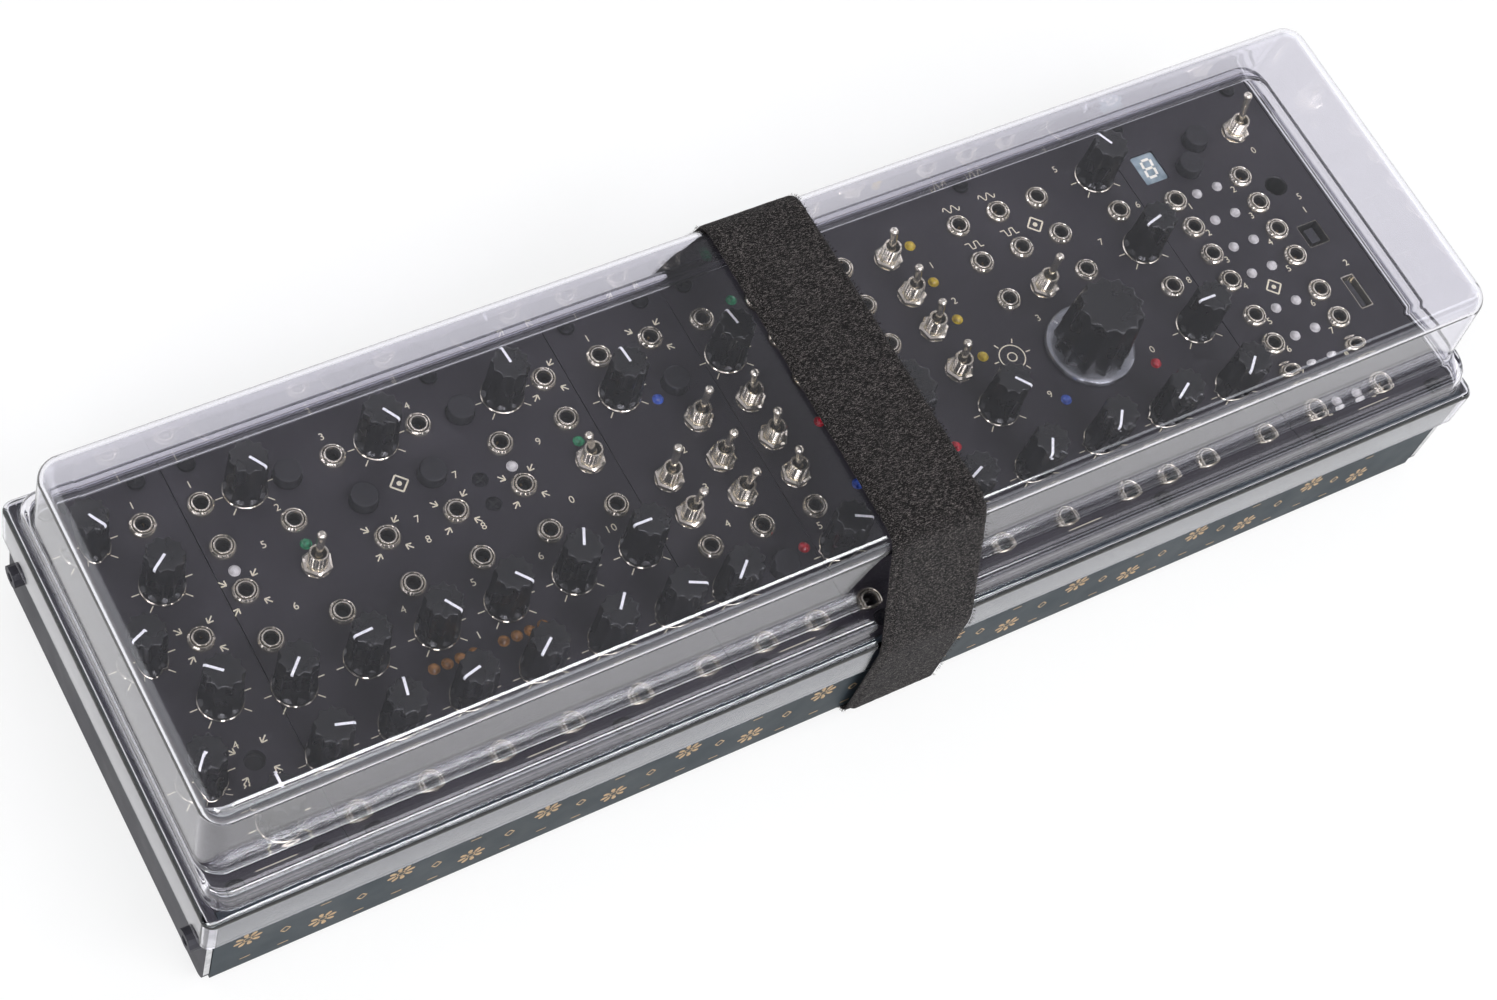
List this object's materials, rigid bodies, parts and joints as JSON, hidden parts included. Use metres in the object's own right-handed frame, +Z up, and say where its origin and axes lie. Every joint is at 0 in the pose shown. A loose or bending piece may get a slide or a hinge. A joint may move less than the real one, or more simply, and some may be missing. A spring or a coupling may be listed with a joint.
{
  "type": "modular synthesizer",
  "caption": "Modular synthesizer in a flat metal case: black front plates with jacks, knobs, toggles and buttons under a clear moulded cover held by a textile strap.",
  "frame": {"origin": "centre of the ground under the case, at the bottom of the feet", "axes": "+X along the case to the right, +Y from the front to the back, +Z up out of the front plates"},
  "size_m": [0.439, 0.1414, 0.0913],
  "materials": {
    "panel_black": "matte black anodised aluminium sheet",
    "board_green": "solder-masked glass fibre board",
    "case_grey": "fine matte powder coat",
    "cheek_grey": "fine matte powder coat",
    "dial_metal": "turned and clear-anodised",
    "knob_black": "satin moulded plastic",
    "lever_metal": "bright nickel plate",
    "button_black": "satin moulded plastic",
    "display_light": "pale lit window",
    "cover_clear": "clear smoke-tinted moulded polycarbonate",
    "strap_textile": "black-brown looped elastic webbing"
  },
  "bodies": {
    "case": {"board_interface": "board_green", "board_mixer": "board_green", "board_oscillator": "board_green", "board_slope": "board_green", "board_voice": "board_green", "bus_board": "board_green", "case_tray": "case_grey", "cheek_left": "cheek_grey", "cheek_right": "cheek_grey", "display": "display_light", "plate_interface": "panel_black", "plate_mixer": "panel_black", "plate_oscillator": "panel_black", "plate_slope": "panel_black", "plate_voice": "panel_black", "strap": "strap_textile"},
    "knob_mixer_1": {"knob_mixer_1": "knob_black"},
    "knob_mixer_2": {"knob_mixer_2": "knob_black"},
    "knob_mixer_3": {"knob_mixer_3": "knob_black"},
    "knob_mixer_4": {"knob_mixer_4": "knob_black"},
    "knob_voice_1": {"knob_voice_1": "knob_black"},
    "knob_voice_2": {"knob_voice_2": "knob_black"},
    "knob_voice_3": {"knob_voice_3": "knob_black"},
    "knob_voice_4": {"knob_voice_4": "knob_black"},
    "knob_voice_5": {"knob_voice_5": "knob_black"},
    "knob_voice_6": {"knob_voice_6": "knob_black"},
    "knob_voice_7": {"knob_voice_7": "knob_black"},
    "knob_voice_8": {"knob_voice_8": "knob_black"},
    "knob_voice_9": {"knob_voice_9": "knob_black"},
    "knob_voice_10": {"knob_voice_10": "knob_black"},
    "knob_voice_11": {"knob_voice_11": "knob_black"},
    "knob_voice_12": {"knob_voice_12": "knob_black"},
    "button_voice_1": {"button_voice_1": "button_black"},
    "button_voice_2": {"button_voice_2": "button_black"},
    "button_voice_3": {"button_voice_3": "button_black"},
    "button_voice_4": {"button_voice_4": "button_black"},
    "toggle_voice_1": {"toggle_voice_1": "lever_metal"},
    "knob_slope_1": {"knob_slope_1": "knob_black"},
    "button_slope_1": {"button_slope_1": "button_black"},
    "button_slope_2": {"button_slope_2": "button_black"},
    "toggle_slope_1": {"toggle_slope_1": "lever_metal"},
    "toggle_slope_2": {"toggle_slope_2": "lever_metal"},
    "knob_oscillator_1": {"knob_oscillator_1": "knob_black"},
    "knob_oscillator_2": {"knob_oscillator_2": "knob_black"},
    "knob_oscillator_3": {"knob_oscillator_3": "knob_black"},
    "knob_oscillator_4": {"knob_oscillator_4": "knob_black"},
    "knob_oscillator_5": {"knob_oscillator_5": "knob_black"},
    "knob_oscillator_6": {"knob_oscillator_6": "knob_black"},
    "knob_oscillator_7": {"knob_oscillator_7": "knob_black"},
    "knob_oscillator_8": {"knob_oscillator_8": "knob_black"},
    "tuning_knob_oscillator_1": {"tuning_knob_oscillator_1": "dial_metal"},
    "tuning_knob_oscillator_2": {"tuning_knob_oscillator_2": "dial_metal"},
    "toggle_oscillator_1": {"toggle_oscillator_1": "lever_metal"},
    "toggle_oscillator_2": {"toggle_oscillator_2": "lever_metal"},
    "toggle_oscillator_3": {"toggle_oscillator_3": "lever_metal"},
    "toggle_oscillator_4": {"toggle_oscillator_4": "lever_metal"},
    "button_interface_1": {"button_interface_1": "button_black"},
    "button_interface_2": {"button_interface_2": "button_black"},
    "toggle_interface_1": {"toggle_interface_1": "lever_metal"},
    "cover": {"cover": "cover_clear"}
  },
  "joints": [
    {"name": "knob_mixer_1_turn", "type": "hinge", "parent": "case", "child": "knob_mixer_1", "pos_m": [-0.20084, -0.0293, 0.0478], "axis": [0, 0, 1], "range_deg": [-285, 15]},
    {"name": "knob_mixer_2_turn", "type": "hinge", "parent": "case", "child": "knob_mixer_2", "pos_m": [-0.18707, 0.02853, 0.0478], "axis": [0, 0, 1], "range_deg": [-277, 23]},
    {"name": "knob_mixer_3_turn", "type": "hinge", "parent": "case", "child": "knob_mixer_3", "pos_m": [-0.18707, -0.00951, 0.0478], "axis": [0, 0, 1], "range_deg": [-200, 100]},
    {"name": "knob_mixer_4_turn", "type": "hinge", "parent": "case", "child": "knob_mixer_4", "pos_m": [-0.18707, -0.04703, 0.0478], "axis": [0, 0, 1], "range_deg": [-150, 150]},
    {"name": "knob_voice_1_turn", "type": "hinge", "parent": "case", "child": "knob_voice_1", "pos_m": [-0.16711, -0.01375, 0.0478], "axis": [0, 0, 1], "range_deg": [-285, 15]},
    {"name": "knob_voice_2_turn", "type": "hinge", "parent": "case", "child": "knob_voice_2", "pos_m": [-0.14541, -0.01375, 0.0478], "axis": [0, 0, 1], "range_deg": [-244, 56]},
    {"name": "knob_voice_3_turn", "type": "hinge", "parent": "case", "child": "knob_voice_3", "pos_m": [-0.12359, -0.01375, 0.0478], "axis": [0, 0, 1], "range_deg": [-2, 298]},
    {"name": "knob_voice_4_turn", "type": "hinge", "parent": "case", "child": "knob_voice_4", "pos_m": [-0.10176, -0.01375, 0.0478], "axis": [0, 0, 1], "range_deg": [-8, 292]},
    {"name": "knob_voice_5_turn", "type": "hinge", "parent": "case", "child": "knob_voice_5", "pos_m": [-0.07994, -0.01375, 0.0478], "axis": [0, 0, 1], "range_deg": [-124, 176]},
    {"name": "knob_voice_6_turn", "type": "hinge", "parent": "case", "child": "knob_voice_6", "pos_m": [-0.05811, -0.01375, 0.0478], "axis": [0, 0, 1], "range_deg": [-240, 60]},
    {"name": "knob_voice_7_turn", "type": "hinge", "parent": "case", "child": "knob_voice_7", "pos_m": [-0.16711, -0.0356, 0.0478], "axis": [0, 0, 1], "range_deg": [-43, 257]},
    {"name": "knob_voice_8_turn", "type": "hinge", "parent": "case", "child": "knob_voice_8", "pos_m": [-0.14541, -0.0356, 0.0478], "axis": [0, 0, 1], "range_deg": [-138, 162]},
    {"name": "knob_voice_9_turn", "type": "hinge", "parent": "case", "child": "knob_voice_9", "pos_m": [-0.12359, -0.0356, 0.0478], "axis": [0, 0, 1], "range_deg": [-254, 46]},
    {"name": "knob_voice_10_turn", "type": "hinge", "parent": "case", "child": "knob_voice_10", "pos_m": [-0.10176, -0.0356, 0.0478], "axis": [0, 0, 1], "range_deg": [-278, 22]},
    {"name": "knob_voice_11_turn", "type": "hinge", "parent": "case", "child": "knob_voice_11", "pos_m": [-0.07994, -0.0356, 0.0478], "axis": [0, 0, 1], "range_deg": [-110, 190]},
    {"name": "knob_voice_12_turn", "type": "hinge", "parent": "case", "child": "knob_voice_12", "pos_m": [-0.05811, -0.0356, 0.0478], "axis": [0, 0, 1], "range_deg": [-34, 266]},
    {"name": "button_voice_1_press", "type": "slide", "parent": "case", "child": "button_voice_1", "axis": [0, 0, -1], "range_m": [0, 0.0008], "stiffness_N_per_m": 400, "springref_m": -0.0005},
    {"name": "button_voice_2_press", "type": "slide", "parent": "case", "child": "button_voice_2", "axis": [0, 0, -1], "range_m": [0, 0.0008], "stiffness_N_per_m": 400, "springref_m": -0.0005},
    {"name": "button_voice_3_press", "type": "slide", "parent": "case", "child": "button_voice_3", "axis": [0, 0, -1], "range_m": [0, 0.0008], "stiffness_N_per_m": 400, "springref_m": -0.0005},
    {"name": "button_voice_4_press", "type": "slide", "parent": "case", "child": "button_voice_4", "axis": [0, 0, -1], "range_m": [0, 0.0008], "stiffness_N_per_m": 400, "springref_m": -0.0005},
    {"name": "toggle_voice_1_tilt", "type": "hinge", "parent": "case", "child": "toggle_voice_1", "pos_m": [-0.14541, 0.01773, 0.0533], "axis": [0, 1, 0], "range_deg": [-14, 14]},
    {"name": "knob_slope_1_turn", "type": "hinge", "parent": "case", "child": "knob_slope_1", "pos_m": [-0.03922, -0.03604, 0.0478], "axis": [0, 0, 1], "range_deg": [-283, 17]},
    {"name": "button_slope_1_press", "type": "slide", "parent": "case", "child": "button_slope_1", "axis": [0, 0, -1], "range_m": [0, 0.0008], "stiffness_N_per_m": 400, "springref_m": -0.0005},
    {"name": "button_slope_2_press", "type": "slide", "parent": "case", "child": "button_slope_2", "axis": [0, 0, -1], "range_m": [0, 0.0008], "stiffness_N_per_m": 400, "springref_m": -0.0005},
    {"name": "toggle_slope_1_tilt", "type": "hinge", "parent": "case", "child": "toggle_slope_1", "pos_m": [-0.03954, 0.00321, 0.0533], "axis": [-1, 0, 0], "range_deg": [-18, 10]},
    {"name": "toggle_slope_2_tilt", "type": "hinge", "parent": "case", "child": "toggle_slope_2", "pos_m": [-0.02191, 0.00321, 0.0533], "axis": [-1, 0, 0], "range_deg": [-9, 19]},
    {"name": "knob_oscillator_1_turn", "type": "hinge", "parent": "case", "child": "knob_oscillator_1", "pos_m": [-0.00284, 0.03424, 0.0478], "axis": [0, 0, 1], "range_deg": [-160, 140]},
    {"name": "knob_oscillator_2_turn", "type": "hinge", "parent": "case", "child": "knob_oscillator_2", "pos_m": [-0.00284, -0.03572, 0.0478], "axis": [0, 0, 1], "range_deg": [-32, 268]},
    {"name": "knob_oscillator_3_turn", "type": "hinge", "parent": "case", "child": "knob_oscillator_3", "pos_m": [0.06689, -0.01401, 0.0478], "axis": [0, 0, 1], "range_deg": [-6, 294]},
    {"name": "knob_oscillator_4_turn", "type": "hinge", "parent": "case", "child": "knob_oscillator_4", "pos_m": [0.06649, -0.03643, 0.0478], "axis": [0, 0, 1], "range_deg": [-297, 3]},
    {"name": "knob_oscillator_5_turn", "type": "hinge", "parent": "case", "child": "knob_oscillator_5", "pos_m": [0.09201, -0.03643, 0.0478], "axis": [0, 0, 1], "range_deg": [-292, 8]},
    {"name": "knob_oscillator_6_turn", "type": "hinge", "parent": "case", "child": "knob_oscillator_6", "pos_m": [0.14256, -0.03643, 0.0478], "axis": [0, 0, 1], "range_deg": [-283, 17]},
    {"name": "knob_oscillator_7_turn", "type": "hinge", "parent": "case", "child": "knob_oscillator_7", "pos_m": [0.14297, 0.01895, 0.0478], "axis": [0, 0, 1], "range_deg": [-254, 46]},
    {"name": "knob_oscillator_8_turn", "type": "hinge", "parent": "case", "child": "knob_oscillator_8", "pos_m": [0.14297, -0.01285, 0.0478], "axis": [0, 0, 1], "range_deg": [-240, 60]},
    {"name": "tuning_knob_oscillator_1_turn", "type": "hinge", "parent": "case", "child": "tuning_knob_oscillator_1", "pos_m": [0.03016, -0.0063, 0.0478], "axis": [0, 0, 1], "range_deg": [-118, 182]},
    {"name": "tuning_knob_oscillator_2_turn", "type": "hinge", "parent": "case", "child": "tuning_knob_oscillator_2", "pos_m": [0.10583, -0.0063, 0.0478], "axis": [0, 0, 1], "range_deg": [-182, 118]},
    {"name": "toggle_oscillator_1_tilt", "type": "hinge", "parent": "case", "child": "toggle_oscillator_1", "pos_m": [0.06218, 0.04575, 0.0533], "axis": [0, 1, 0], "range_deg": [-1, 27]},
    {"name": "toggle_oscillator_2_tilt", "type": "hinge", "parent": "case", "child": "toggle_oscillator_2", "pos_m": [0.06218, 0.03122, 0.0533], "axis": [0, 1, 0], "range_deg": [-3, 25]},
    {"name": "toggle_oscillator_3_tilt", "type": "hinge", "parent": "case", "child": "toggle_oscillator_3", "pos_m": [0.06218, 0.01773, 0.0533], "axis": [0, 1, 0], "range_deg": [-5, 23]},
    {"name": "toggle_oscillator_4_tilt", "type": "hinge", "parent": "case", "child": "toggle_oscillator_4", "pos_m": [0.06218, 0.00225, 0.0533], "axis": [0, 1, 0], "range_deg": [-4, 24]},
    {"name": "button_interface_1_press", "type": "slide", "parent": "case", "child": "button_interface_1", "axis": [0, 0, -1], "range_m": [0, 0.0008], "stiffness_N_per_m": 400, "springref_m": -0.0005},
    {"name": "button_interface_2_press", "type": "slide", "parent": "case", "child": "button_interface_2", "axis": [0, 0, -1], "range_m": [0, 0.0008], "stiffness_N_per_m": 400, "springref_m": -0.0005},
    {"name": "toggle_interface_1_tilt", "type": "hinge", "parent": "case", "child": "toggle_interface_1", "pos_m": [0.19812, 0.04575, 0.0533], "axis": [-1, 0, 0], "range_deg": [-27, 1]},
    {"name": "cover_lift", "type": "slide", "parent": "case", "child": "cover", "axis": [0, 0, 1], "range_m": [0, 0.06], "deforming": ["strap"]}
  ]
}
